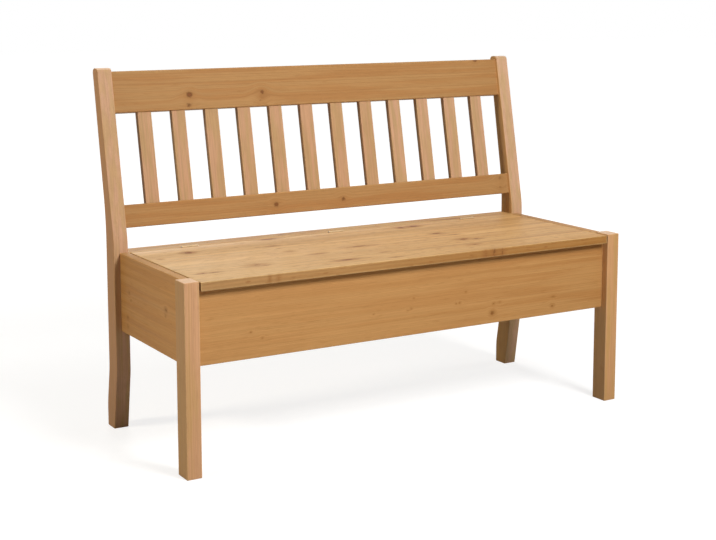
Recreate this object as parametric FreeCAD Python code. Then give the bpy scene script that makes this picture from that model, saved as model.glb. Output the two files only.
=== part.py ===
import FreeCAD, Part
import math
import os

from FreeCAD import Vector

# Storage bench in solid pine: a box seat with a hinged lid and a slatted back.
# X runs along the bench, Y from front to back and Z up. The origin is on the
# floor, under the middle of the bench's outer box. Lengths are in millimetres.

# Overall sizes
bench_width = 1270.0
bench_height = 915.0
leg_height = 460.0
frame_depth = 430.0             # front of the legs to the front of the rear posts

# Timber sections
stile_width = 38.0              # legs and posts, seen from the front
leg_depth = 50.0
board_thickness = 22.0          # side, front and rear panels, lid and rear seat rail
arris = 2.0                     # rounding of the sawn edges
aligned_share = 0.999           # how much of an edge's run must lie along an axis

# Rear post: straight at the seat, raked above it, kicked back at the foot
post_depth = 52.0
post_top_depth = 33.5
post_foot_depth = 45.0
back_rake = 11.4                # lean of the back, in degrees
front_bend_rise = 27.0          # above the tops of the front legs
rear_bend_rise = 78.0
front_bend_radius = 200.0
rear_bend_radius = 650.0
shin_height = 152.0             # where the front of the foot starts to kick back
calf_height = 156.0
heel_height = 59.0
heel_kick = 17.5
foot_bend_radius = 160.0
post_top_rounding = 11.0

# Seat box
box_bottom = 258.0              # height of the box's lower edge
front_inset = 20.5
rear_inset = 16.0
lid_drop = 2.0                  # lid and side panels below the tops of the legs
lid_side_gap = 4.0
lid_rest_gap = 0.3
seat_rail_depth = 56.5

# Box floor and the cleats that carry it
floor_thickness = 9.0
floor_gap = 1.0
cleat_size = 18.0
cleat_lift = 4.0

# Back
back_recess = 7.0               # rails behind the front faces of the posts
back_rail_thickness = 25.0
bottom_rail_shares = (0.0756, 0.2084)   # lower and upper edge, up the raked front of the posts
top_rail_shares = (0.7412, 0.984)
back_rail_rounding = 3.0
slat_count = 12
slat_width = 38.0
slat_thickness = 16.0
slat_end_gap = 62.6             # between a post and the slat beside it

# Tenons and mortises
rail_tenon_length = 20.0
rail_tenon_thickness = 13.0
rail_tenon_shoulder = 12.0
slat_tenon_length = 12.0
slat_tenon_thickness = 10.0
slat_tenon_shoulder = 5.0
joint_clearance = 0.1           # round a tenon or a dowel
mortise_relief = 1.0            # glue space at the bottom of a mortise or dowel hole

# Dowels
dowel_radius = 4.0
dowel_length = 38.0
dowel_chamfer = 1.0
side_dowel_shares = (0.12, 0.5, 0.88)
cross_dowel_shares = (0.3, 0.7)
seat_rail_dowel_shares = (-0.4, -0.2, 0.0, 0.2, 0.4)

# Lid battens
batten_width = 45.0
batten_thickness = 20.0
batten_front_gap = 14.0
batten_rear_gap = 14.0
batten_bevel = 12.0
batten_shares = (-0.38, 0.0, 0.38)

# Butt hinges
hinge_length = 45.0
hinge_end_distance = 161.0      # lid's end to the middle of the hinge beside it
hinge_axis_lift = 1.0           # pin above the top of the lid
hinge_leaf_drop = 17.0
leaf_thickness = 1.5
leaf_clearance = 0.2
knuckle_radius = 3.0
knuckle_count = 5
knuckle_gap = 0.35
knuckle_relief = 0.5            # room in the wood beside the knuckles
pin_radius = 1.5
pin_running_clearance = 0.05
pin_seat_clearance = 0.02
pin_head_radius = 2.3
pin_head_thickness = 0.8
pin_head_room = 0.5             # between a pin's head and the wood

# Wood screws
screw_radius = 1.5
screw_head_radius = 3.0
screw_point_length = 3.0
screw_clearance = 0.1
slot_width = 0.8
slot_depth = 0.7
hinge_screw_length = 16.0
hinge_screw_share = 0.3
cleat_screw_length = 30.0
cleat_screw_shares = (-0.42, -0.14, 0.14, 0.42)
batten_screw_length = 32.0
batten_screw_shares = (-0.38, 0.0, 0.38)

# Places that follow from the sizes above
half_width = bench_width / 2
inner_x = half_width - stile_width
panel_inner_x = inner_x         # side panels are flush with the inner faces of the legs
panel_outer_x = panel_inner_x + board_thickness
post_back_y = frame_depth + post_depth
rake = math.radians(back_rake)
front_bend_height = leg_height + front_bend_rise
rear_bend_height = leg_height + rear_bend_rise
lid_top = leg_height - lid_drop
lid_underside = lid_top - board_thickness
front_panel_y = front_inset + board_thickness
rear_panel_back_y = post_back_y - rear_inset
rear_panel_y = rear_panel_back_y - board_thickness
joint_half_gap = knuckle_radius - leaf_thickness
seat_rail_front_y = post_back_y - seat_rail_depth
hinge_y = seat_rail_front_y - joint_half_gap
hinge_z = lid_top + hinge_axis_lift
lid_back_y = hinge_y - joint_half_gap
lid_half_width = inner_x - lid_side_gap
hinge_spacing = lid_half_width - hinge_end_distance
front_panel_top = lid_underside - lid_rest_gap
panel_mid_x = (panel_outer_x + panel_inner_x) / 2
front_panel_mid_y = (front_inset + front_panel_y) / 2
rear_panel_mid_y = (rear_panel_y + rear_panel_back_y) / 2
floor_z = box_bottom + cleat_lift + cleat_size
post_face_length = (bench_height - front_bend_height) / math.cos(rake)
bottom_rail_bottom = post_face_length * bottom_rail_shares[0]
bottom_rail_top = post_face_length * bottom_rail_shares[1]
top_rail_bottom = post_face_length * top_rail_shares[0]
top_rail_top = post_face_length * top_rail_shares[1]
slat_pitch = (2 * (inner_x - slat_end_gap) - slat_width) / (slat_count - 1)

# Directions
along_x = Vector(1, 0, 0)
along_y = Vector(0, 1, 0)
along_z = Vector(0, 0, 1)


# Shapes that several pieces use

def block(low, high):
    """A block of wood between two opposite corners."""
    size = Vector(*high) - Vector(*low)
    return Part.makeBox(size.x, size.y, size.z, Vector(*low))


def edges_along(shape, axis):
    """The straight edges of a shape that run along one axis."""
    found = []
    for edge in shape.Edges:
        run = edge.lastVertex().Point - edge.firstVertex().Point
        if isinstance(edge.Curve, Part.Line) and abs(run.dot(axis)) > run.Length * aligned_share:
            found.append(edge)
    return found


def softened(shape, axis, radius=arris):
    """A shape with its edges along one axis rounded."""
    return shape.makeFillet(radius, edges_along(shape, axis))


def outline_face(corners):
    """A flat face in the YZ plane from corners (y, z, radius), each rounded by its radius."""
    edges = []
    last = None
    first = None
    count = len(corners)
    for index, (y, z, radius) in enumerate(corners):
        here = Vector(0, y, z)
        before = Vector(0, *corners[index - 1][:2]) - here
        after = Vector(0, *corners[(index + 1) % count][:2]) - here
        before.normalize()
        after.normalize()
        if radius:
            half_angle = before.getAngle(after) / 2
            reach = radius / math.tan(half_angle)
            middle = before + after
            middle.normalize()
            centre_distance = radius / math.sin(half_angle)
            start = here + before * reach
            end = here + after * reach
            crown = here + middle * (centre_distance - radius)
            arc = Part.Arc(start, crown, end).toShape()
        else:
            start = end = here
            arc = None
        if last is not None:
            edges.append(Part.LineSegment(last, start).toShape())
        else:
            first = start
        if arc:
            edges.append(arc)
        last = end
    edges.append(Part.LineSegment(last, first).toShape())
    return Part.Face(Part.Wire(edges))


def pointed(shape, place, direction):
    """A shape built up along Z, set at a place and turned to a direction."""
    turn = FreeCAD.Rotation(along_z, direction)
    return shape.transformed(FreeCAD.Placement(place, turn).toMatrix(), True)


def peg(radius, length, place, direction):
    """A cylinder from a place along a direction."""
    return Part.makeCylinder(radius, length, place, direction)


def dowel(place, direction):
    """A fluted hardwood dowel, centred on the joint face, with chamfered ends."""
    start = place - direction * (dowel_length / 2)
    plain = peg(dowel_radius, dowel_length, start, direction)
    rims = [edge for edge in plain.Edges if isinstance(edge.Curve, Part.Circle)]
    return plain.makeChamfer(dowel_chamfer, rims)


def dowel_hole(place, direction):
    """The hole for a dowel, through both sides of the joint face."""
    length = dowel_length + 2 * mortise_relief
    start = place - direction * (length / 2)
    return peg(dowel_radius + joint_clearance, length, start, direction)


def screw(length, place, direction):
    """A slotted countersunk wood screw with its head at a place, driven along a direction."""
    cone = screw_head_radius - screw_radius
    profile = Part.makePolygon([
        Vector(0, 0, 0),
        Vector(screw_head_radius, 0, 0),
        Vector(screw_radius, 0, cone),
        Vector(screw_radius, 0, length - screw_point_length),
        Vector(0, 0, length),
        Vector(0, 0, 0),
    ])
    body = Part.Face(profile).revolve(Vector(0, 0, 0), along_z, 360)
    slot = block((-screw_head_radius, -slot_width / 2, 0), (screw_head_radius, slot_width / 2, slot_depth))
    return pointed(body.cut(slot), place, direction)


def screw_hole(length, place, direction):
    """The countersunk hole for a screw."""
    cone = screw_head_radius - screw_radius
    wall = screw_radius + screw_clearance
    sink = Part.makeCone(screw_head_radius + screw_clearance, wall, cone + screw_clearance)
    bore = Part.makeCylinder(wall, length + screw_clearance)
    return pointed(sink.fuse(bore), place, direction)


def mirrored(shape):
    """The same piece for the other end of the bench."""
    return shape.mirror(Vector(0, 0, 0), along_x)


def on_rake(shape):
    """A piece of the back, drawn upright on the posts' front bend, leaned back with the posts."""
    pivot = Vector(0, frame_depth, front_bend_height)
    leaned = shape.copy()
    leaned.rotate(pivot, along_x, -back_rake)
    return leaned


# Where the dowels of each joint go, as (place, direction)

def side_panel_joints(x):
    rows = []
    height = lid_top - box_bottom
    for share in side_dowel_shares:
        z = box_bottom + height * share
        rows.append((Vector(x, leg_depth, z), along_y))
        rows.append((Vector(x, frame_depth, z), along_y))
    return rows


def cross_panel_joints(y):
    rows = []
    height = front_panel_top - box_bottom
    for share in cross_dowel_shares:
        z = box_bottom + height * share
        rows.append((Vector(-inner_x, y, z), along_x))
        rows.append((Vector(inner_x, y, z), along_x))
    return rows


def seat_rail_end_joints():
    z = lid_top - board_thickness / 2
    return [(Vector(x, rear_panel_mid_y, z), along_x) for x in (-inner_x, inner_x)]


def seat_rail_upright_joints():
    """Dowels that stand in the rear panel and reach half way up into the seat rail."""
    z = lid_underside + board_thickness / 2 - dowel_length / 2
    return [(Vector(bench_width * share, rear_panel_mid_y, z), along_z)
            for share in seat_rail_dowel_shares]


def with_dowel_holes(shape, joints):
    for place, direction in joints:
        shape = shape.cut(dowel_hole(place, direction))
    return shape


def dowels(joints):
    return Part.makeCompound([dowel(place, direction) for place, direction in joints])


# Legs and posts

def front_leg():
    """Right front leg: a straight square-edged post with softened edges."""
    leg = block((inner_x, 0, 0), (half_width, leg_depth, leg_height))
    leg = softened(leg, along_z)
    ends = [edge for edge in leg.Edges if abs(edge.BoundBox.ZLength) < arris]
    leg = leg.makeChamfer(arris / 2, ends)
    leg = with_dowel_holes(leg, side_panel_joints(panel_mid_x))
    return with_dowel_holes(leg, cross_panel_joints(front_panel_mid_y))


def post_face():
    """Side view of a rear post, from the toe up the front and down the back."""
    heel_y = post_back_y + heel_kick
    toe_y = heel_y - post_foot_depth
    top_front_y = frame_depth + (bench_height - front_bend_height) * math.tan(rake)
    top_back_y = top_front_y + post_top_depth
    return outline_face([
        (toe_y, 0, 0),
        (frame_depth, shin_height, foot_bend_radius),
        (frame_depth, front_bend_height, front_bend_radius),
        (top_front_y, bench_height, post_top_rounding),
        (top_back_y, bench_height, post_top_rounding),
        (post_back_y, rear_bend_height, rear_bend_radius),
        (post_back_y, calf_height, foot_bend_radius),
        (heel_y, heel_height, foot_bend_radius),
        (heel_y, 0, 0),
    ])


def rear_post_blank():
    """Right rear post sawn to shape, with its edges softened all round the two sides."""
    post = post_face().extrude(along_x * stile_width)
    post.translate(Vector(inner_x, 0, 0))
    rims = []
    for edge in post.Edges:
        if abs(edge.BoundBox.XLength) < arris and edge.BoundBox.ZMax > arris:
            rims.append(edge)
    return post.makeFillet(arris, rims)


def rail_mortise(bottom, top):
    """The mortise in a post for a back rail's tenon."""
    middle = back_recess + back_rail_thickness / 2
    reach = rail_tenon_thickness / 2 + joint_clearance
    hole = block(
        (0, frame_depth + middle - reach,
         front_bend_height + bottom + rail_tenon_shoulder - joint_clearance),
        (inner_x + rail_tenon_length + mortise_relief, frame_depth + middle + reach,
         front_bend_height + top - rail_tenon_shoulder + joint_clearance))
    return on_rake(hole)


def rear_post():
    post = rear_post_blank()
    post = post.cut(rail_mortise(bottom_rail_bottom, bottom_rail_top))
    post = post.cut(rail_mortise(top_rail_bottom, top_rail_top))
    post = with_dowel_holes(post, side_panel_joints(panel_mid_x))
    post = with_dowel_holes(post, cross_panel_joints(rear_panel_mid_y))
    return with_dowel_holes(post, seat_rail_end_joints())


# Seat box

def side_panel():
    """Right side panel, between the front leg and the rear post."""
    panel = block((panel_inner_x, leg_depth, box_bottom), (panel_outer_x, frame_depth, lid_top))
    panel = softened(panel, along_y)
    return with_dowel_holes(panel, side_panel_joints(panel_mid_x))


def front_panel():
    """Front panel, set back between the legs so that the lid overhangs it as a finger grip."""
    panel = block((-inner_x, front_inset, box_bottom), (inner_x, front_panel_y, front_panel_top))
    panel = softened(panel, along_x)
    return with_dowel_holes(panel, cross_panel_joints(front_panel_mid_y))


def rear_panel():
    """Rear panel between the posts; it carries the fixed rear part of the seat."""
    panel = block((-inner_x, rear_panel_y, box_bottom), (inner_x, rear_panel_back_y, lid_underside))
    shown = [edge for edge in edges_along(panel, along_x) if edge.BoundBox.ZMax < lid_underside - arris]
    panel = panel.makeFillet(arris, shown)
    panel = with_dowel_holes(panel, cross_panel_joints(rear_panel_mid_y))
    return with_dowel_holes(panel, seat_rail_upright_joints())


def rear_seat_rail():
    """Fixed rear strip of the seat, which the lid is hinged to."""
    rail = block((-inner_x, seat_rail_front_y, lid_underside), (inner_x, post_back_y, lid_top))
    top_back = [edge for edge in edges_along(rail, along_x) if edge.BoundBox.YMax > post_back_y - arris]
    rail = rail.makeFillet(arris, top_back)
    rail = with_dowel_holes(rail, seat_rail_end_joints())
    rail = with_dowel_holes(rail, seat_rail_upright_joints())
    for x in hinge_places():
        rail = rail.cut(leaf_housing(x, 1))
    for place, direction in leaf_screw_places(1):
        rail = rail.cut(screw_hole(hinge_screw_length, place, direction))
    return rail


def floor_cleats():
    """The four cleats inside the box, named, with the panel that each is screwed to."""
    low = box_bottom + cleat_lift
    side_front = front_panel_y + cleat_size
    side_back = rear_panel_y - cleat_size
    side_x = inner_x - cleat_size
    return {
        "front_floor_cleat": block((-inner_x, front_panel_y, low), (inner_x, side_front, floor_z)),
        "rear_floor_cleat": block((-inner_x, side_back, low), (inner_x, rear_panel_y, floor_z)),
        "left_floor_cleat": block((-inner_x, side_front, low), (-side_x, side_back, floor_z)),
        "right_floor_cleat": block((side_x, side_front, low), (inner_x, side_back, floor_z)),
    }


def cleat_screw_places():
    """Screws through the cleats into the panels, as (cleat, place, direction)."""
    z = box_bottom + cleat_lift + cleat_size / 2
    middle_y = (front_panel_y + rear_panel_y) / 2
    length_x = 2 * (inner_x - cleat_size)
    length_y = rear_panel_y - front_panel_y - 2 * cleat_size
    side_x = inner_x - cleat_size
    rows = []
    for share in cleat_screw_shares:
        x = length_x * share
        rows.append(("front_floor_cleat", Vector(x, front_panel_y + cleat_size, z), -along_y))
        rows.append(("rear_floor_cleat", Vector(x, rear_panel_y - cleat_size, z), along_y))
    for share in (cleat_screw_shares[0], cleat_screw_shares[-1]):
        y = middle_y + length_y * share
        rows.append(("left_floor_cleat", Vector(-side_x, y, z), -along_x))
        rows.append(("right_floor_cleat", Vector(side_x, y, z), along_x))
    return rows


def with_cleat_screw_holes(shape, cleat):
    for name, place, direction in cleat_screw_places():
        if name == cleat:
            shape = shape.cut(screw_hole(cleat_screw_length, place, direction))
    return shape


def cleat_screws():
    return Part.makeCompound([
        screw(cleat_screw_length, place, direction) for name, place, direction in cleat_screw_places()])


def floor_panel():
    """Plywood floor of the box, laid loose on the cleats."""
    edge = inner_x - floor_gap
    return block((-edge, front_panel_y + floor_gap, floor_z),
                 (edge, rear_panel_y - floor_gap, floor_z + floor_thickness))


# Back

def back_rail(bottom, top):
    """A back rail with a stub tenon at each end, drawn upright."""
    y = frame_depth + back_recess
    middle = y + back_rail_thickness / 2
    half_tenon = rail_tenon_thickness / 2
    reach = inner_x + rail_tenon_length
    rail = block((-inner_x, y, front_bend_height + bottom),
                 (inner_x, y + back_rail_thickness, front_bend_height + top))
    rail = softened(rail, along_x, back_rail_rounding)
    tenons = block((-reach, middle - half_tenon, front_bend_height + bottom + rail_tenon_shoulder),
                   (reach, middle + half_tenon, front_bend_height + top - rail_tenon_shoulder))
    return rail.fuse(tenons).removeSplitter()


def slat_places():
    first = -(slat_count - 1) / 2 * slat_pitch
    return [first + index * slat_pitch for index in range(slat_count)]


def slat_mortises(height, direction):
    """The mortises along a rail's edge, sunk from a height in one direction."""
    middle = frame_depth + back_recess + back_rail_thickness / 2
    reach_y = slat_tenon_thickness / 2 + joint_clearance
    reach_x = slat_width / 2 - slat_tenon_shoulder + joint_clearance
    depth = slat_tenon_length + mortise_relief
    low = front_bend_height + min(height, height + direction * depth)
    high = front_bend_height + max(height, height + direction * depth)
    holes = []
    for x in slat_places():
        holes.append(block((x - reach_x, middle - reach_y, low), (x + reach_x, middle + reach_y, high)))
    return Part.makeCompound(holes)


def back_bottom_rail():
    rail = back_rail(bottom_rail_bottom, bottom_rail_top)
    return on_rake(rail.cut(slat_mortises(bottom_rail_top, -1)))


def back_top_rail():
    rail = back_rail(top_rail_bottom, top_rail_top)
    return on_rake(rail.cut(slat_mortises(top_rail_bottom, 1)))


def back_slat(x):
    """An upright slat with a tenon at each end."""
    middle = frame_depth + back_recess + back_rail_thickness / 2
    half_width_here = slat_width / 2
    half_tenon_width = half_width_here - slat_tenon_shoulder
    low = front_bend_height + bottom_rail_top
    high = front_bend_height + top_rail_bottom
    slat = block((x - half_width_here, middle - slat_thickness / 2, low),
                 (x + half_width_here, middle + slat_thickness / 2, high))
    slat = softened(slat, along_z)
    tenons = block((x - half_tenon_width, middle - slat_tenon_thickness / 2, low - slat_tenon_length),
                   (x + half_tenon_width, middle + slat_tenon_thickness / 2, high + slat_tenon_length))
    return on_rake(slat.fuse(tenons).removeSplitter())


# Butt hinges

def hinge_places():
    return [-hinge_spacing, 0, hinge_spacing]


def leaf_housing(x, side):
    """The housing in the wood for one leaf: side is 1 for the rail, -1 for the lid."""
    half = hinge_length / 2 + leaf_clearance
    relief_half = hinge_length / 2 + pin_head_thickness + pin_head_room
    bottom = hinge_z - hinge_leaf_drop - leaf_clearance
    seat = hinge_y + side * knuckle_radius
    relief = hinge_y + side * (knuckle_radius + knuckle_relief)
    edge = hinge_y + side * joint_half_gap / 2
    relief_bottom = hinge_z - knuckle_radius - knuckle_relief
    seat_cut = block((x - half, min(edge, seat), bottom), (x + half, max(edge, seat), hinge_z))
    relief_cut = block((x - relief_half, min(edge, relief), relief_bottom),
                       (x + relief_half, max(edge, relief), hinge_z))
    return seat_cut.fuse(relief_cut)


def leaf_screw_places(side):
    """Screws of the three leaves on one side, with their heads in the leaves' inner faces."""
    y = hinge_y + side * joint_half_gap
    plate_top = hinge_z - knuckle_radius - knuckle_gap
    z = (plate_top + hinge_z - hinge_leaf_drop) / 2
    rows = []
    for x in hinge_places():
        for step in (-hinge_screw_share, hinge_screw_share):
            rows.append((Vector(x + step * hinge_length, y, z), along_y * side))
    return rows


def hinge_leaf(x, side):
    """One leaf with its rolled knuckles: side is 1 on the seat rail, -1 on the lid."""
    start = x - hinge_length / 2
    inner = hinge_y + side * joint_half_gap
    outer = hinge_y + side * knuckle_radius
    plate_top = hinge_z - knuckle_radius - knuckle_gap
    leaf = block((start, min(inner, outer), hinge_z - hinge_leaf_drop),
                 (start + hinge_length, max(inner, outer), plate_top))
    corners = [edge for edge in edges_along(leaf, along_y) if edge.BoundBox.ZMax < plate_top - arris]
    leaf = leaf.makeFillet(arris, corners)
    pitch = (hinge_length + knuckle_gap) / knuckle_count
    length = pitch - knuckle_gap
    first = 0 if side > 0 else 1
    bore_radius = pin_radius + (pin_seat_clearance if side > 0 else pin_running_clearance)
    for index in range(first, knuckle_count, 2):
        left = start + index * pitch
        neck = block((left, min(inner, outer), plate_top - leaf_thickness),
                     (left + length, max(inner, outer), hinge_z))
        barrel = peg(knuckle_radius, length, Vector(left, hinge_y, hinge_z), along_x)
        leaf = leaf.fuse([neck, barrel])
    leaf = leaf.removeSplitter()
    leaf = leaf.cut(peg(bore_radius, hinge_length, Vector(start, hinge_y, hinge_z), along_x))
    for place, direction in leaf_screw_places(side):
        if abs(place.x - x) < hinge_length:
            leaf = leaf.cut(screw_hole(hinge_screw_length, place, direction))
    return leaf


def hinge_pin(x):
    """Hinge pin with a low head closed over each end."""
    start = x - hinge_length / 2
    pin = peg(pin_radius, hinge_length, Vector(start, hinge_y, hinge_z), along_x)
    heads = []
    for end in (start - pin_head_thickness, start + hinge_length):
        heads.append(peg(pin_head_radius, pin_head_thickness, Vector(end, hinge_y, hinge_z), along_x))
    return pin.fuse(heads).removeSplitter()


def hinge_screws(side):
    return Part.makeCompound([
        screw(hinge_screw_length, place, direction) for place, direction in leaf_screw_places(side)])


# Lid

def batten_screw_places():
    """Screws up through the battens into the lid."""
    z = lid_underside - batten_thickness
    length = batten_back_y() - batten_front_y()
    middle = (batten_back_y() + batten_front_y()) / 2
    rows = []
    for batten_share in batten_shares:
        for share in batten_screw_shares:
            place = Vector(2 * lid_half_width * batten_share, middle + length * share, z)
            rows.append((place, along_z))
    return rows


def batten_front_y():
    return front_panel_y + batten_front_gap


def batten_back_y():
    return lid_back_y - batten_rear_gap


def lid_batten(share):
    """Cross batten under the lid, with its ends bevelled."""
    x = 2 * lid_half_width * share
    low = lid_underside - batten_thickness
    profile = Part.makePolygon([
        Vector(0, batten_front_y(), lid_underside),
        Vector(0, batten_front_y() + batten_bevel, low),
        Vector(0, batten_back_y() - batten_bevel, low),
        Vector(0, batten_back_y(), lid_underside),
        Vector(0, batten_front_y(), lid_underside),
    ])
    batten = Part.Face(profile).extrude(along_x * batten_width)
    batten.translate(along_x * (x - batten_width / 2))
    for place, direction in batten_screw_places():
        if abs(place.x - x) < batten_width:
            batten = batten.cut(screw_hole(batten_screw_length, place, direction))
    return batten


def batten_screws():
    return Part.makeCompound([
        screw(batten_screw_length, place, direction) for place, direction in batten_screw_places()])


def seat_lid():
    """Edge-glued lid with its front and side edges rounded."""
    lid = block((-lid_half_width, 0, lid_underside), (lid_half_width, lid_back_y, lid_top))
    rims = edges_along(lid, along_y)
    rims += [edge for edge in edges_along(lid, along_x) if edge.BoundBox.YMax < lid_back_y - arris]
    lid = lid.makeFillet(arris, rims)
    for x in hinge_places():
        lid = lid.cut(leaf_housing(x, -1))
    for place, direction in leaf_screw_places(-1):
        lid = lid.cut(screw_hole(hinge_screw_length, place, direction))
    for place, direction in batten_screw_places():
        lid = lid.cut(screw_hole(batten_screw_length, place, direction))
    return lid


# The whole bench, one entry for each named piece

def bench_pieces():
    pieces = {}
    leg = front_leg()
    post = rear_post()
    panel = side_panel()
    pieces["right_front_leg"] = leg
    pieces["left_front_leg"] = mirrored(leg)
    pieces["right_rear_post"] = post
    pieces["left_rear_post"] = mirrored(post)
    pieces["right_side_panel"] = with_cleat_screw_holes(panel, "right_floor_cleat")
    pieces["left_side_panel"] = with_cleat_screw_holes(mirrored(panel), "left_floor_cleat")
    pieces["front_panel"] = with_cleat_screw_holes(front_panel(), "front_floor_cleat")
    pieces["rear_panel"] = with_cleat_screw_holes(rear_panel(), "rear_floor_cleat")
    pieces["rear_seat_rail"] = rear_seat_rail()
    for name, cleat in floor_cleats().items():
        pieces[name] = with_cleat_screw_holes(cleat, name)
    pieces["floor_panel"] = floor_panel()
    pieces["cleat_screws"] = cleat_screws()
    pieces["side_panel_dowels"] = dowels(side_panel_joints(-panel_mid_x) + side_panel_joints(panel_mid_x))
    pieces["front_panel_dowels"] = dowels(cross_panel_joints(front_panel_mid_y))
    pieces["rear_panel_dowels"] = dowels(cross_panel_joints(rear_panel_mid_y))
    pieces["seat_rail_dowels"] = dowels(seat_rail_end_joints() + seat_rail_upright_joints())
    pieces["back_top_rail"] = back_top_rail()
    pieces["back_bottom_rail"] = back_bottom_rail()
    for number, x in enumerate(slat_places(), start=1):
        pieces["back_slat_%02d" % number] = back_slat(x)
    pieces["seat_lid"] = seat_lid()
    for name, share in zip(("left", "middle", "right"), batten_shares):
        pieces[name + "_lid_batten"] = lid_batten(share)
    pieces["batten_screws"] = batten_screws()
    for name, x in zip(("left", "middle", "right"), hinge_places()):
        pieces[name + "_hinge_lid_leaf"] = hinge_leaf(x, -1)
        pieces[name + "_hinge_rail_leaf"] = hinge_leaf(x, 1)
        pieces[name + "_hinge_pin"] = hinge_pin(x)
    pieces["hinge_lid_screws"] = hinge_screws(-1)
    pieces["hinge_rail_screws"] = hinge_screws(1)
    return pieces


# The pieces are drawn from the front of the legs, and moved so that the origin
# is under the middle of the outer box.
overall_depth = rear_post_blank().optimalBoundingBox().YMax
os.makedirs("parts", exist_ok=True)
for node, piece in bench_pieces().items():
    piece.translate(Vector(0, -overall_depth / 2, 0))
    piece.exportStep("parts/" + node + ".step")
print("overall depth", overall_depth)
print("hinge axis y", hinge_y - overall_depth / 2, "z", hinge_z)
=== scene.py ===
import functools
import math

import bpy
from mathutils import Matrix, Vector

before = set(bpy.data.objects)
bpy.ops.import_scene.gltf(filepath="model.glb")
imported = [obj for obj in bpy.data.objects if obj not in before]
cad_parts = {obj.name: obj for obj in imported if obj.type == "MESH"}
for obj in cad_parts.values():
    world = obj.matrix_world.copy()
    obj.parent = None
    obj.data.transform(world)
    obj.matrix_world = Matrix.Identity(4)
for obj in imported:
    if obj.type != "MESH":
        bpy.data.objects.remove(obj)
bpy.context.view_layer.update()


# Front legs: two straight square stiles of solid pine, planed, sanded and wiped with a honey
# oil that dried to a satin. The panels of the seat box are dowelled into them.

# A node's mesh is in metres, and the sizes of the patterns on it are in millimetres
MM = 1000.0
UPWARDS = Vector((0, 0, 1))
ALONG_BENCH = Vector((1, 0, 0))
FRONT_TO_BACK = Vector((0, 1, 0))


def linear(colour):
    """A colour written as #rrggbb, as the linear values that a shader takes."""
    shares = [int(colour[place:place + 2], 16) / 255 for place in (1, 3, 5)]
    return [s / 12.92 if s <= 0.04045 else ((s + 0.055) / 1.055) ** 2.4 for s in shares] + [1.0]


def add_node(material, kind, inputs=None, **settings):
    """A node with its settings and inputs. An input is a value, another node or one of its outputs."""
    new = material.node_tree.nodes.new("ShaderNode" + kind)
    for name, value in settings.items():
        setattr(new, name, value)
    for name, value in (inputs or {}).items():
        sockets = [s for s in new.inputs if s.enabled and s.name == name]
        socket = sockets[0] if sockets else new.inputs[name]
        if isinstance(value, bpy.types.Node):
            value = next(s for s in value.outputs if s.enabled)
        if isinstance(value, bpy.types.NodeSocket):
            material.node_tree.links.new(value, socket)
        else:
            socket.default_value = value
    return new


def new_material(name):
    material = bpy.data.materials.new(name)
    material.use_nodes = True
    material.node_tree.nodes.clear()
    return material


def finish_material(material, shader):
    add_node(material, "OutputMaterial", {"Surface": shader})
    return material


def dress(node, material):
    """Gives a CAD node its finish."""
    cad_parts[node].material_slots[0].material = material


def lie_of(node, along, across):
    """The turn into a board's own directions, and its middle and half sizes there, in millimetres."""
    turn = Matrix((along, across, along.cross(across)))
    corners = [turn @ (vertex.co * MM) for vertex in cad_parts[node].data.vertices]
    low = Vector([min(c[axis] for c in corners) for axis in range(3)])
    high = Vector([max(c[axis] for c in corners) for axis in range(3)])
    return turn, (low + high) / 2, (high - low) / 2


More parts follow.
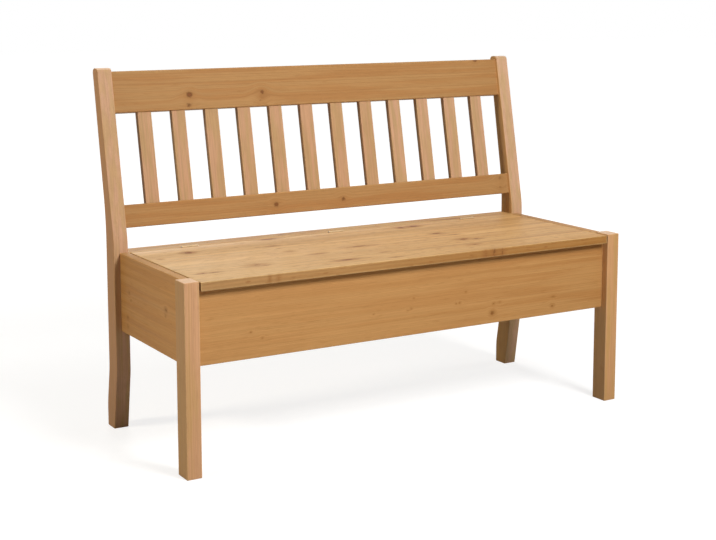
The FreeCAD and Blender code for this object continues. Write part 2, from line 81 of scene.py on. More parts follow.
def dress_in_pine(node, along, across, wood, pith, log_number, knots=(), strip=0.0, rubbed=True):
    """Dresses a CAD node in pine cut from a log. The year rings run round the pith, so that a face
    shows arches or stripes and an end shows the rings, and the grain flows round each knot. pith
    is where the log's middle lies from the board's, across and through it. A knot is its place
    along and across from the board's middle, half its length and width, and how faint it is.
    strip is how wide the boards are that are glued edge to edge. Sizes are in millimetres."""
    turn, middle, half = lie_of(node, along, across)
    material = new_material(wood["kind"] + "_" + node)
    add = functools.partial(add_node, material)
    surface = add("TexCoord")
    place = add("Mapping", {"Vector": surface.outputs["Object"], "Location": -middle,
                            "Rotation": turn.to_euler("XYZ"), "Scale": (MM, MM, MM)})
    at_along, at_across, at_depth = add("SeparateXYZ", {0: place}).outputs

    # Each piece shows its own stretch of the pattern
    log_length = 1370.0
    if strip:
        # Glued boards: each strip is another log, its pith up to 0.6 of a strip to one side
        pith_spread = 1.2 * strip
        from_edge = add("Math", {0: at_across, 1: half.y}, operation="ADD")
        strips = add("Math", {0: from_edge, 1: strip}, operation="DIVIDE")
        strip_number = add("Math", {0: strips}, operation="FLOOR")
        seed = add("Math", {0: strip_number, 1: log_number}, operation="ADD")
        chance = add("TexWhiteNoise", {"W": seed}, noise_dimensions="1D").outputs["Color"]
        share = add("Math", {0: strips}, operation="FRACT")
        own_across = add("Math", {0: share, 1: strip, 2: -strip / 2}, operation="MULTIPLY_ADD")
        own_place = add("CombineXYZ", {"X": at_along, "Y": own_across, "Z": at_depth})
        centred = add("VectorMath", {0: chance, 1: (0.5, 0.5, 0.5)}, operation="SUBTRACT")
        shift = add("VectorMath", {0: centred, 1: (log_length, pith_spread, pith[1]),
                                   2: (0, 0, -pith[1])}, operation="MULTIPLY_ADD")
        log = add("VectorMath", {0: own_place, 1: shift}, operation="ADD")
    else:
        log = add("VectorMath", {0: place, 1: (log_number * log_length, -pith[0], -pith[1])},
                  operation="ADD")

    # Slow waves of the grain
    wave_size = (330, 85, 85)
    wave_place = add("VectorMath", {0: log, 1: wave_size}, operation="DIVIDE")
    wave = add("TexNoise", {"Vector": wave_place, "Scale": 1.0, "Detail": 1.0})
    sway = add("VectorMath", {0: wave.outputs["Color"], 1: (0.5, 0.5, 0.5)}, operation="SUBTRACT")
    flow = add("VectorMath", {0: sway, 1: (0, wood["sway"], wood["sway"]), 2: log},
               operation="MULTIPLY_ADD")

    # Knots, and the grain that bends round them, out to 4.5 times their size. A faint one counts
    # as further away, so that only its softer parts show.
    near = None
    aside = None
    for knot_along, knot_across, length, width, faint in knots:
        offset = add("VectorMath", {0: place, 1: (knot_along, knot_across, 0)}, operation="SUBTRACT")
        scaled = add("VectorMath", {0: offset, 1: (1 / length, 1 / width, 0)}, operation="MULTIPLY")
        distance = add("VectorMath", {0: scaled}, operation="LENGTH").outputs["Value"]
        bend = add("MapRange", {"Value": distance, "From Min": 0.4, "From Max": 4.5, "To Min": -0.8,
                                "To Max": 0.0}, interpolation_type="SMOOTHSTEP")
        away = add("Math", {0: at_across, 1: knot_across}, operation="SUBTRACT")
        aside = add("Math", {0: away, 1: bend, 2: aside or 0.0}, operation="MULTIPLY_ADD")
        seen = add("Math", {0: distance, 1: faint}, operation="ADD")
        near = add("Math", {0: near, 1: seen}, operation="MINIMUM") if near else seen
    if knots:
        flow = add("VectorMath", {0: flow, 1: add("CombineXYZ", {"Y": aside})}, operation="ADD")

    # Year rings of uneven width: pale early wood that darkens from a quarter of the ring on into
    # a thin band of late wood, which ends sharply
    ring = wood["ring"]
    unevenness = 3.5
    change_each_year = 0.31
    across_log = add("VectorMath", {0: flow, 1: (0, 1 / ring, 1 / ring)}, operation="MULTIPLY")
    years = add("VectorMath", {0: across_log}, operation="LENGTH").outputs["Value"]
    slow = add("Math", {0: years, 1: change_each_year}, operation="MULTIPLY")
    uneven = add("TexNoise", {"W": slow, "Scale": 1.0, "Detail": 1.0}, noise_dimensions="1D")
    year = add("Math", {0: uneven, 1: unevenness, 2: years}, operation="MULTIPLY_ADD")
    within_year = add("Math", {0: year}, operation="FRACT")
    rise = add("MapRange", {"Value": within_year, "From Min": 0.25, "From Max": 0.9},
               interpolation_type="SMOOTHSTEP")
    fall = add("MapRange", {"Value": within_year, "From Min": 0.9, "From Max": 1.0, "To Min": 1.0,
                            "To Max": 0.0})
    late = add("Math", {0: rise, 1: fall}, operation="MULTIPLY")

    # What runs along the grain, as length, width and detail. Real fibres are a few hundredths of a
    # millimetre wide; they are drawn 0.9 mm wide, so that they show.
    grain = {}
    for name, length, width, detail in (("band", *wood["band"], 2.0), ("streak", 420, 7, 3.0),
                                        ("fibre", 38, 0.9, 2.0), ("fleck", 30, 4, 1.0)):
        grain_place = add("VectorMath", {0: flow, 1: (length, width, width)}, operation="DIVIDE")
        grain[name] = add("TexNoise", {"Vector": grain_place, "Scale": 1.0, "Detail": detail})

    # Pale wood with warmer bands, and the darker rings on both
    warm = add("MapRange", {"Value": grain["band"], "From Min": 0.4, "From Max": 0.62},
               interpolation_type="SMOOTHSTEP")
    colour = add("Mix", {"Factor": warm, "A": linear(wood["pale"]), "B": linear(wood["warm"])},
                 data_type="RGBA")
    ring_tone = add("Math", {0: late, 1: wood["figure"]}, operation="MULTIPLY")
    colour = add("Mix", {"Factor": ring_tone, "A": colour, "B": linear(wood["late"])}, data_type="RGBA")
    cut_tint = 0.8
    if "one_end_colour" in wood:
        # Towards its left or front end the board turns to another colour, and its cut faces take less
        # of theirs. On the panels this is paler. On the seat lid it is a painted sheen, paler to the
        # left on the top and the edges. On the rear seat rail it turns towards a mid honey colour.
        run = {"Value": at_along, "From Min": -half.x, "From Max": half.x}
        cut_tint = add("MapRange", {**run, "To Min": 0.6, "To Max": cut_tint})
        one_end_share = add("MapRange", {**run, "To Min": 0.5, "To Max": 0.0})
        colour = add("Mix", {"Factor": one_end_share, "A": colour, "B": linear(wood["one_end_colour"])},
                     data_type="RGBA")

    # The long edges and the ends take a colour of their own where a face looks along them. On the legs
    # and posts the long edges are the side faces; their colour is painted shade on the left leg and
    # post and painted light on the right leg. The pale colour of the stiles' tops and the greyer one of
    # the panels' and rails' long edges are painted sheen. On the seat lid and rear seat rail the edges
    # show the darker wood without the painted sheen of the tops.
    for cut, direction in (("edge", across), ("end", along)):
        if cut in wood:
            facing = add("VectorMath", {0: surface.outputs["Normal"], 1: direction},
                         operation="DOT_PRODUCT")
            facing = add("Math", {0: facing.outputs["Value"]}, operation="ABSOLUTE")
            cut_share = add("MapRange", {"Value": facing, "From Min": 0.6, "From Max": 0.9,
                                         "To Max": cut_tint}, interpolation_type="SMOOTHSTEP")
            colour = add("Mix", {"Factor": cut_share, "A": colour, "B": linear(wood[cut])},
                         data_type="RGBA")

    # Streaks and fibres make it lighter and darker, and so does each strip's own tone. Noise
    # seldom leaves its middle half.
    noise_middle = {"From Min": 0.25, "From Max": 0.75}
    contrast = wood["contrast"]
    fibre_contrast = 0.06
    streaky = add("MapRange", {"Value": grain["streak"], **noise_middle, "To Min": 1 - contrast,
                               "To Max": 1 + contrast})
    fibrous = add("MapRange", {"Value": grain["fibre"], **noise_middle, "To Min": 1 - fibre_contrast,
                               "To Max": 1 + fibre_contrast})
    tone = add("Math", {0: streaky, 1: fibrous}, operation="MULTIPLY")
    if strip:
        own_tone = add("MapRange", {"Value": add("SeparateXYZ", {0: chance}), "To Min": 0.95,
                                    "To Max": 1.06})
        tone = add("Math", {0: tone, 1: own_tone}, operation="MULTIPLY")
    colour = add("VectorMath", {0: colour, "Scale": tone}, operation="SCALE")

    # Resin flecks: short brown dashes
    mark = add("MapRange", {"Value": grain["fleck"], "From Min": 0.6, "From Max": 0.74,
                            "To Max": wood["flecks"]})
    colour = add("Mix", {"Factor": mark, "A": colour, "B": linear(wood["fleck"])}, data_type="RGBA")

    # Each knot has a dark rim, a red-brown heart and a stained halo, all a little ragged. Knots, late
    # wood and fibres stand proud of the soft wood between them.
    ragged_size = (6, 6, 6)
    ragged_place = add("VectorMath", {0: place, 1: ragged_size}, operation="DIVIDE")
    ragged = add("TexNoise", {"Vector": ragged_place, "Scale": 1.0, "Detail": 1.0})
    raised = add("Math", {0: late, 1: 0.5}, operation="MULTIPLY")
    if knots:
        edge = add("Math", {0: ragged, 1: 0.9, 2: near}, operation="MULTIPLY_ADD")
        halo = add("MapRange", {"Value": edge, "From Min": 1.3, "From Max": 3.6, "To Min": wood["halo"],
                                "To Max": 0.0}, interpolation_type="SMOOTHSTEP")
        stained = add("Mix", {"Factor": halo, "A": colour, "B": linear(wood["fleck"])},
                      data_type="RGBA")
        rim = add("MapRange", {"Value": edge, "From Min": 0.8, "From Max": 1.3},
                  interpolation_type="SMOOTHSTEP")
        heart = add("Mix", {"Factor": rim, "A": linear(wood["knot"]), "B": linear(wood["knot_rim"])},
                    data_type="RGBA")
        inside = add("MapRange", {"Value": edge, "From Min": 1.0, "From Max": wood["blur"],
                                  "To Min": 0.85, "To Max": 0.0}, interpolation_type="SMOOTHSTEP")
        colour = add("Mix", {"Factor": inside, "A": stained, "B": heart}, data_type="RGBA")
        raised = add("Math", {0: inside, 1: 0.6, 2: raised}, operation="MULTIPLY_ADD")
    raised = add("Math", {0: grain["fibre"], 1: 0.5, 2: raised}, operation="MULTIPLY_ADD")

    # Handling has rubbed the arrises paler, a few millimetres wide: where two faces are near at once
    if rubbed:
        from_middle = add("VectorMath", {0: place}, operation="ABSOLUTE")
        from_faces = add("VectorMath", {0: half, 1: from_middle}, operation="SUBTRACT")
        depths = add("SeparateXYZ", {0: from_faces})
        pairs = [add("Math", {0: depths.outputs[a], 1: depths.outputs[b]}, operation="ADD")
                 for a, b in (("X", "Y"), ("Y", "Z"), ("X", "Z"))]
        nearest = add("Math", {0: pairs[0], 1: pairs[1]}, operation="MINIMUM")
        nearest = add("Math", {0: nearest, 1: pairs[2]}, operation="MINIMUM")
        patchy = add("Math", {0: ragged, 1: 4.0, 2: nearest}, operation="MULTIPLY_ADD")
        worn = add("MapRange", {"Value": patchy, "From Min": 2.0, "From Max": 6.0, "To Min": 0.35,
                                "To Max": 0.0}, interpolation_type="SMOOTHSTEP")
        colour = add("Mix", {"Factor": worn, "A": colour, "B": linear(wood["worn"])}, data_type="RGBA")

    # The oil lies unevenly along the streaks, and the end grain has drunk it and is duller
    end_share = cut_share
    satin = add("MapRange", {"Value": grain["streak"], "From Min": 0.3, "From Max": 0.7, "To Min": 0.44,
                             "To Max": 0.56})
    roughness = add("Math", {0: end_share, 1: 0.25, 2: satin}, operation="MULTIPLY_ADD")
    bump = add("Bump", {"Height": raised, "Strength": 0.6, "Distance": 0.0004})
    shader = add("BsdfPrincipled", {"Base Color": colour, "Roughness": roughness, "Normal": bump,
                                    "IOR": 1.48, "Specular IOR Level": wood["gloss"]})
    dress(node, finish_material(material, shader))


# A kind of pine has two tones of early wood, pale and warm, and a late one for its rings; worn is
# for rubbed arrises, fleck for resin and the stain round a knot, edge and end for the cut faces,
# and a last colour for the one a board turns towards at its left or front end; on some kinds the
# cut faces' colours and that last one hold painted shade and painted sheen. ring is how wide a year
# ring is and band how long and wide a warm band is, and sway is how far the grain wanders, all in
# millimetres. figure, contrast, flecks, gloss and halo are shares: how strong the rings, streaks,
# flecks, shine and stains are. blur is where a knot ends, in times its size.

# Oiled pine stiles: pinkish and tan bands that run straight along the piece, hardly any figure;
# the pale colour of their tops is painted sheen
stile_wood = {"kind": "oiled_pine", "pale": "#c39661", "warm": "#cb986b", "late": "#b58352",
              "worn": "#d6ab80", "fleck": "#a87348", "knot": "#8a5634", "knot_rim": "#64402a",
              "end": "#e3c6ab", "ring": 5.0, "band": (230, 17), "sway": 4.0, "figure": 0.3,
              "contrast": 0.06, "flecks": 0.15, "gloss": 0.06, "halo": 0.5, "blur": 1.9}
# The legs' side faces take a colour of their own: painted shade on the left leg's, painted light on the
# right leg's
left_leg_wood = dict(stile_wood, pale="#c69b6a", warm="#ce9d75", edge="#bb9363")
right_leg_wood = dict(stile_wood, pale="#c29660", warm="#ca986a", edge="#d8a975")
dress_in_pine("left_front_leg", UPWARDS, ALONG_BENCH, left_leg_wood, (-160, 20), 1)
dress_in_pine("right_front_leg", UPWARDS, ALONG_BENCH, right_leg_wood, (150, 30), 2)


# Rear posts: two posts sawn out of thick pine plank to a curve, straight at the seat, leaning back
# above it and kicked back at the foot, rounded at the top. Both rails of the back are tenoned
# into them; sawing across the plank's grain shows as long arches on the sides.

# Oiled pine like the legs', a little redder, and paler than the wood, holding part of the painted
# sheen that their leaning fronts catch; their side faces take a colour of their own, which on the
# left post is painted shade. Rubbed arrises are worked out for straight pieces only, so the curved
# posts go without.
left_post_wood = dict(stile_wood, pale="#c19b71", warm="#c99e7e", late="#b18960", edge="#b48457")
right_post_wood = dict(stile_wood, pale="#c5a178", warm="#cea585", late="#b58f68", edge="#c99b62")
dress_in_pine("left_rear_post", UPWARDS, ALONG_BENCH, left_post_wood, (-190, 0), 3, rubbed=False)
dress_in_pine("right_rear_post", UPWARDS, ALONG_BENCH, right_post_wood, (180, 10), 4, rubbed=False)


# Side, front and rear panels: wide 22 mm pine boards, flat sawn, with small knots that go right
# through. They took more oil than the stiles and are a deeper honey; dowels hold them between
# the legs and posts.

# Oiled pine boards: an even honey tone with fine, straight, faint lines; the greyer colour of
# their long edges, top and bottom, is painted sheen
board_wood = dict(stile_wood, pale="#b98953", warm="#b17e49", late="#9f6f3c", worn="#c99c68",
                  fleck="#976536", knot="#905b2d", knot_rim="#744620", edge="#ad885e", end="#d8b489",
                  ring=6.0, band=(420, 20), sway=5.0, contrast=0.05, flecks=0.2)
front_wood = dict(board_wood, one_end_colour="#c8965f")
side_wood = dict(board_wood, pale="#ba8952", warm="#b17d47", late="#a0703b", one_end_colour="#dca668")
front_knots = [(233, -62, 7, 6, 0.3), (237, -38, 4, 3, 0.7), (256, -36, 5, 2.5, 0.9),
               (130, -24, 4, 3, 0.8), (120, -24, 4, 3, 0.9), (149, 3, 3.5, 2.5, 1.0),
               (428, -66, 6, 5, 0.6), (430, -41, 6, 3, 1.0), (-16, -22, 4, 3, 0.9),
               (-27, -25, 4, 3, 1.0), (-8, 4, 4, 3, 1.1), (-125, -23, 3.5, 2.5, 1.0),
               (-429, -43, 4, 3, 1.1), (-459, -25, 4, 3, 1.0)]
rear_knots = [(-310, 20, 9.5, 7, 0), (95, -40, 12, 9, 0.1), (402, 35, 7, 5, 0.4)]
side_knots = [(-97, 11, 7, 5, 0.6), (-94, -4, 5, 4, 1.1), (133, 10, 5, 4, 0.9), (122, -8, 4, 3, 1.1),
              (146, -56, 6, 4.5, 0.7), (146, -78, 6, 4.5, 0.9)]
dress_in_pine("front_panel", ALONG_BENCH, UPWARDS, front_wood, (-220, 60), 5, front_knots)
dress_in_pine("rear_panel", ALONG_BENCH, UPWARDS, board_wood, (190, 80), 6, rear_knots)
for log_number, side in enumerate(("left", "right"), start=7):
    dress_in_pine(side + "_side_panel", FRONT_TO_BACK, UPWARDS, side_wood, (-210, 70), log_number,
                  side_knots)


# Box floor and cleats: a sheet of birch plywood lies loose on four planed, unoiled pine cleats
# that are screwed round the inside of the box.

# Planed pine: pale, with plain rings and flecks that no oil has darkened
raw_wood = dict(stile_wood, kind="planed_pine", pale="#dfc097", warm="#d8b083", late="#c2966a",
                worn="#e6c9a0", fleck="#b38a60", knot="#a06c42", knot_rim="#73482b", end="#dcbb90",
                ring=4.5, band=(300, 22), sway=6.0, figure=0.7, contrast=0.05, flecks=0.3)
dress_in_pine("front_floor_cleat", ALONG_BENCH, UPWARDS, raw_wood, (20, 30), 9)
dress_in_pine("rear_floor_cleat", ALONG_BENCH, UPWARDS, raw_wood, (-26, 30), 10)
dress_in_pine("left_floor_cleat", FRONT_TO_BACK, UPWARDS, raw_wood, (20, 34), 11)
dress_in_pine("right_floor_cleat", FRONT_TO_BACK, UPWARDS, raw_wood, (-18, 36), 12)


def birch_plywood(node):
    """Sanded birch plywood: a pale, dull face with a faint peeled figure and fine pores, and on the
    edge the stripes of its plies."""
    figure_length, figure_width = 260, 42
    pore_size = (9, 0.8, 3)
    ply = 1.8
    turn, middle, half = lie_of(node, ALONG_BENCH, FRONT_TO_BACK)
    material = new_material("birch_plywood")
    add = functools.partial(add_node, material)
    place = add("Mapping", {"Vector": add("TexCoord").outputs["Object"], "Location": -middle,
                            "Rotation": turn.to_euler("XYZ"), "Scale": (MM, MM, MM)})
    figure_place = add("VectorMath", {0: place, 1: (1 / figure_length, 1 / figure_width, 0)},
                       operation="MULTIPLY")
    peeled = add("TexNoise", {"Vector": figure_place, "Scale": 1.0, "Detail": 3.0, "Distortion": 1.2})
    pore_place = add("VectorMath", {0: place, 1: pore_size}, operation="DIVIDE")
    pore = add("TexNoise", {"Vector": pore_place, "Scale": 1.0, "Detail": 1.0})
    face = add("Mix", {"Factor": peeled, "A": linear("#dcc092"), "B": linear("#c9a876")},
               data_type="RGBA")
    dark_pore = add("MapRange", {"Value": pore, "From Min": 0.55, "From Max": 0.75, "To Max": 0.35})
    face = add("Mix", {"Factor": dark_pore, "A": face, "B": linear("#a9855a")}, data_type="RGBA")
    height = add("SeparateXYZ", {0: place}).outputs["Z"]
    layer = add("Math", {0: height, 1: math.pi / ply}, operation="MULTIPLY")
    striped = add("MapRange", {"Value": add("Math", {0: layer}, operation="SINE"), "From Min": -0.4,
                               "From Max": 0.4})
    edge = add("Mix", {"Factor": striped, "A": linear("#8f6c45"), "B": linear("#cfb081")},
               data_type="RGBA")
    near_face = add("MapRange", {"Value": add("Math", {0: height}, operation="ABSOLUTE"),
                                 "From Min": half.z - 0.2, "From Max": half.z - 0.05})
    colour = add("Mix", {"Factor": near_face, "A": edge, "B": face}, data_type="RGBA")
    bump = add("Bump", {"Height": pore, "Strength": 0.5, "Distance": 0.0002})
    shader = add("BsdfPrincipled", {"Base Color": colour, "Roughness": 0.62, "Normal": bump})
    return finish_material(material, shader)


dress("floor_panel", birch_plywood("floor_panel"))


# Back rails: two thick pine rails that lean back with the posts, tenoned into them, with rounded
# edges. The top rail has knots in pairs where a whorl of branches was cut.

# Oiled pine darker than the panels, as painted shade, because their leaning faces catch more of the
# key lamp; with dark red-brown knots that have hardly any stain
BACK_RAKE = math.radians(11.4)
UP_THE_BACK = Vector((0, math.sin(BACK_RAKE), math.cos(BACK_RAKE)))
rail_wood = dict(board_wood, pale="#b18655", warm="#ac7c4b", late="#9a6e40", knot="#7b4827",
                 knot_rim="#633c21", halo=0.22)
top_rail_knots = [(-388, -14, 8, 7, 0), (-392, -41, 13, 11, 0.65), (-178, -15, 9, 8, 0.45),
                  (-184, -37, 14, 12, 1.0), (524, 51, 7, 5, 0.2), (-600, 20, 4, 3, 0.9)]
bottom_rail_knots = [(-169, -3, 8, 7, 0.2), (38, -4, 9, 8, 0.5), (570, 16, 12, 10, 0.85),
                     (568, -10, 14, 12, 1.0)]
dress_in_pine("back_top_rail", ALONG_BENCH, UP_THE_BACK, rail_wood, (200, 70), 13, top_rail_knots)
dress_in_pine("back_bottom_rail", ALONG_BENCH, UP_THE_BACK, rail_wood, (-180, 60), 14,
              bottom_rail_knots)


# Back slats: twelve plain pine laths, tenoned into both rails. Each comes from another board,
# so the run of the grain and the tone change a little from one to the next.

# Oiled pine in bands narrower than the laths, paler than the wood, holding part of the painted
# sheen that their leaning fronts catch; the four laths on the right are paler. The pith is further
# off from lath to lath, and turned on by the golden angle, so that no two look alike.
slat_wood = dict(stile_wood, pale="#ba956a", warm="#c59976", late="#aa825b", band=(130, 14))
paler_slat_wood = dict(slat_wood, pale="#be9a70", warm="#c99e7d", late="#ae8760")
first_paler_slat = 9
last_rail_log = 14
golden_angle = 2.4
for number in range(1, 13):
    lath_wood = slat_wood if number < first_paler_slat else paler_slat_wood
    pith_place = (130 + 12 * number, 30 + 50 * math.sin(number * golden_angle))
    dress_in_pine("back_slat_%02d" % number, UP_THE_BACK, ALONG_BENCH, lath_wood, pith_place,
                  last_rail_log + number)


# Seat lid: pine boards glued edge to edge, planed flat and oiled, so each strip has its own
# figure, with knots and resin flecks. Its front edge lies flush with the legs and overhangs the
# front panel as a grip.

# Oiled pine with lively figure: pale yellow wood with brown ring lines and flecks, a little shinier
# than the rest. Its colours hold a painted sheen, paler to the left, which the front and back edges
# lack, so these show the darker wood, a little paler to the left.
seat_wood = dict(stile_wood, pale="#d4a970", warm="#c79962", late="#9f6f3b", worn="#d3b27a",
                 fleck="#8f5c31", knot="#7a4524", knot_rim="#5f331a", edge="#986429", end="#8f6538",
                 one_end_colour="#d7bb91", ring=7.0, band=(420, 28), sway=9.0, figure=0.55, contrast=0.12,
                 flecks=0.6, gloss=0.1, blur=1.45)
lid_knots = [(-471, 135, 12, 11, 0), (-212, 205, 24, 9, 0), (-190, 212, 9, 8, 0),
             (-248, 110, 16, 6, 0.5), (-201, -42, 20, 8, 0.7), (-393, -93, 26, 12, 0.5),
             (-244, 22, 13, 8, 0.8), (-176, -149, 22, 7, 0.1), (-547, -121, 8, 6, 0.3),
             (-519, -124, 14, 5, 0.4), (-563, 90, 8, 6, 0.8), (-56, -7, 32, 6, 0.2),
             (-40, -108, 14, 5, 0.6), (185, 177, 11, 10, 0), (228, 179, 14, 9, 0),
             (218, 51, 15, 7, 0), (232, -59, 15, 8, 0), (252, 10, 15, 5, 0.5),
             (265, -69, 12, 7, 0.2), (214, -136, 16, 6, 0.5), (-54, -180, 13, 5, 0.6),
             (-419, -211, 4, 4, 0.9), (-396, -211, 7, 4, 1.3), (196, -211, 9, 4, 0.75),
             (223, -211, 14, 4, 0.7), (247, -211, 9, 4, 0.8)]
lid_strip = 84.0
dress_in_pine("seat_lid", ALONG_BENCH, FRONT_TO_BACK, seat_wood, (0, 60), 27, lid_knots,
              strip=lid_strip)


# Rear seat rail: the fixed rear strip of the seat, from the same boards as the lid. It is
# dowelled between the posts and onto the rear panel.

# Oiled pine like the lid's, with the same painted sheen, and redder and narrower bands
strip_wood = dict(seat_wood, pale="#d0a66b", warm="#b9844c", one_end_colour="#c89c60", band=(160, 14))
strip_knots = [(-150, 4, 8, 6, 0.3), (390, -12, 36, 4, 0.35)]
dress_in_pine("rear_seat_rail", ALONG_BENCH, FRONT_TO_BACK, strip_wood, (6, 44), 31, strip_knots)


# Lid battens: three bevelled battens of planed pine, screwed across the underside of the lid to
# keep it flat.

for log_number, side in enumerate(("left", "middle", "right"), start=32):
    dress_in_pine(side + "_lid_batten", FRONT_TO_BACK, ALONG_BENCH, raw_wood, (14, 30), log_number)


# Hinges: three five-knuckle butt hinges of rolled steel, plated with zinc that was passivated
# yellow, let into the edges of lid and rail. Only the knuckles show while the lid is down.

def zinc(name, base, mottled, roughness, marks):
    """Zinc-plated steel: a metal of two tones, mottled, with the fine marks of rolling or turning,
    whose size is given in millimetres. The mottle is finer on real plating; it is drawn in
    patches of 2.5 mm, so that it shows."""
    mottle_size = (2.5, 2.5, 2.5)
    material = new_material(name)
    add = functools.partial(add_node, material)
    place = add("Mapping", {"Vector": add("TexCoord").outputs["Object"], "Scale": (MM, MM, MM)})
    patch_place = add("VectorMath", {0: place, 1: mottle_size}, operation="DIVIDE")
    patch = add("TexVoronoi", {"Vector": patch_place, "Scale": 1.0}).outputs["Color"]
    mark_place = add("VectorMath", {0: place, 1: marks}, operation="DIVIDE")
    mark = add("TexNoise", {"Vector": mark_place, "Scale": 1.0, "Detail": 2.0})
    tint = add("SeparateXYZ", {0: patch})
    colour = add("Mix", {"Factor": tint, "A": linear(base), "B": linear(mottled)}, data_type="RGBA")
    gloss = add("MapRange", {"Value": mark, "From Min": 0.3, "From Max": 0.7,
                             "To Min": roughness - 0.06, "To Max": roughness + 0.1})
    bump = add("Bump", {"Height": mark, "Strength": 0.4, "Distance": 0.00005})
    shader = add("BsdfPrincipled", {"Base Color": colour, "Metallic": 1.0, "Roughness": gloss,
                                    "Normal": bump})
    return finish_material(material, shader)


# Yellow-passivated zinc: a dull creamy yellow, marked along the knuckles by rolling. The pins are
# plain zinc: a brighter grey, marked round them by turning.
hinge_zinc = zinc("yellow_zinc_hinge", "#bea582", "#ac9472", 0.64, (14, 0.4, 0.4))
pin_zinc = zinc("zinc_plated_pin", "#c4c4bf", "#adaeab", 0.3, (0.4, 6, 6))
for side in ("left", "middle", "right"):
    dress(side + "_hinge_lid_leaf", hinge_zinc)
    dress(side + "_hinge_rail_leaf", hinge_zinc)
    dress(side + "_hinge_pin", pin_zinc)


# Screws: slotted countersunk wood screws of steel, zinc plated. They hold the leaves of the hinges,
# the battens under the lid and the cleats round the box.

# Plain zinc: a satin grey, grained finely all over from tumbling
screw_zinc = zinc("zinc_plated_screw", "#c9c7bd", "#a9a79c", 0.38, (0.5, 0.5, 0.5))
for group in ("hinge_lid_screws", "hinge_rail_screws", "batten_screws", "cleat_screws"):
    dress(group, screw_zinc)


# Dowels: hidden 8 mm beech pegs with compressed flutes. They are glued into the ends of the panels
# and of the rear seat rail.

def beech(name):
    """Plain beech: pinkish buff with short dark flecks 2 mm apart, dull."""
    fleck_spacing = (2, 2, 2)
    material = new_material(name)
    add = functools.partial(add_node, material)
    place = add("Mapping", {"Vector": add("TexCoord").outputs["Object"], "Scale": (MM, MM, MM)})
    fleck_place = add("VectorMath", {0: place, 1: fleck_spacing}, operation="DIVIDE")
    fleck = add("TexVoronoi", {"Vector": fleck_place, "Scale": 1.0})
    mark = add("MapRange", {"Value": fleck, "From Min": 0.05, "From Max": 0.25, "To Min": 0.5,
                            "To Max": 0.0})
    colour = add("Mix", {"Factor": mark, "A": linear("#cfa67c"), "B": linear("#9c7048")},
                 data_type="RGBA")
    bump = add("Bump", {"Height": fleck, "Strength": 0.4, "Distance": 0.0001})
    shader = add("BsdfPrincipled", {"Base Color": colour, "Roughness": 0.7, "Normal": bump})
    return finish_material(material, shader)


beech_peg = beech("beech_dowel")
for group in ("side_panel_dowels", "front_panel_dowels", "rear_panel_dowels", "seat_rail_dowels"):
    dress(group, beech_peg)


# The studio: a floor that shows as white but keeps the bench's shadow, in a white surround that
# lights the bench only weakly. Four soft boxes light it: the key above the front, one high on the
# left, a low one far to the right and one high behind.

def seen_directly(shown):
    """For a material or the world: 1 to the camera, a reflection or glass, 0 to what it lights."""
    path = add_node(shown, "LightPath")
    seen = path.outputs["Is Camera Ray"]
    for ray in ("Is Glossy Ray", "Is Transmission Ray"):
        seen = add_node(shown, "Math", {0: seen, 1: path.outputs[ray]}, operation="MAXIMUM")
    return seen


# Matt paper: a grey that takes the shadow, under a glow that makes it white to the camera and is
# weaker round the bench
floor_size = 40.0
bpy.ops.object.select_all(action="DESELECT")
bpy.ops.mesh.primitive_plane_add(size=floor_size, location=(0, 0, 0))
floor = bpy.context.object
floor.name = "studio_floor"
floor_paper = new_material("matt_floor_paper")
seen = seen_directly(floor_paper)
paper = add_node(floor_paper, "Mix", {"Factor": seen, "A": linear("#b6b6b6"), "B": linear("#a0a0a0")},
                 data_type="RGBA")
matt = add_node(floor_paper, "BsdfDiffuse", {"Color": paper})
floor_place = add_node(floor_paper, "TexCoord").outputs["Object"]
from_bench = add_node(floor_paper, "VectorMath", {0: floor_place}, operation="LENGTH").outputs["Value"]
backdrop = add_node(floor_paper, "MapRange", {"Value": from_bench, "From Min": 1.0, "From Max": 5.0,
                                              "To Min": 0.76, "To Max": 1.0},
                    interpolation_type="SMOOTHSTEP")
strength = add_node(floor_paper, "Math", {0: seen, 1: backdrop}, operation="MULTIPLY")
glow = add_node(floor_paper, "Emission", {"Strength": strength})
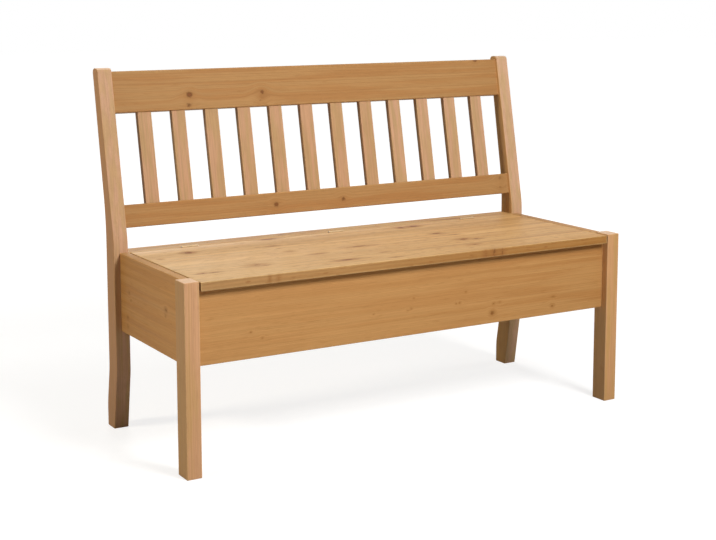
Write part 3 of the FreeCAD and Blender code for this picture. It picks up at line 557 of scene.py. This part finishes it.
finish_material(floor_paper, add_node(floor_paper, "AddShader", {0: matt, 1: glow}))
floor.data.materials.append(floor_paper)

fill_light = 0.03
surround = bpy.data.worlds.new("white_surround")
bpy.context.scene.world = surround
surround.use_nodes = True
surround.node_tree.nodes.clear()
sky_strength = add_node(surround, "MapRange", {"Value": seen_directly(surround), "To Min": fill_light,
                                               "To Max": 1.0})
sky = add_node(surround, "Background", {"Color": linear("#ffffff"), "Strength": sky_strength})
add_node(surround, "OutputWorld", {"Surface": sky})


def soft_lamp(name, place, aim, size, power, colour="#ffffff"):
    """A square soft box at a place, turned to the point it aims at."""
    lamp = bpy.data.lights.new(name, "AREA")
    lamp.size = size
    lamp.energy = power
    lamp.color = linear(colour)[:3]
    holder = bpy.data.objects.new(name, lamp)
    bpy.context.scene.collection.objects.link(holder)
    holder.location = place
    holder.rotation_euler = (Vector(place) - Vector(aim)).to_track_quat("Z", "Y").to_euler()


# The key aims past the left end, so that this is the brighter one; the others aim at the seat
beyond_left_end = (-1.5, 0, 0.3)
seat_middle = (0, 0, 0.45)
soft_lamp("key_lamp", (0.5, -2.8, 2.62), beyond_left_end, size=1.2, power=135)
soft_lamp("left_lamp", (-3.6, 0.35, 2.9), seat_middle, size=0.8, power=80, colour="#fff6e4")
soft_lamp("right_lamp", (4.4, 0, 0.9), seat_middle, size=1.4, power=50)
soft_lamp("back_lamp", (1.0, 4.2, 3.5), seat_middle, size=1.6, power=72)

# The camera stands where the photograph's did, in front of the bench and to its left. That one was
# level and shifted further; this one looks slightly down, so that the bench stays in the picture
# from other sides.
camera_place = (-1.8946, -3.1703, 1.1197)
camera_heading = 30.997
camera_pitch = 7.907
camera = bpy.data.objects.new("camera", bpy.data.cameras.new("camera"))
bpy.context.scene.collection.objects.link(camera)
camera.location = camera_place
camera.rotation_euler = (math.radians(90 - camera_pitch), 0, math.radians(-camera_heading))
camera.data.lens = 71.69
camera.data.shift_x = -0.0135
camera.data.shift_y = -0.12
bpy.context.scene.camera = camera
bpy.context.scene.view_settings.view_transform = "Standard"
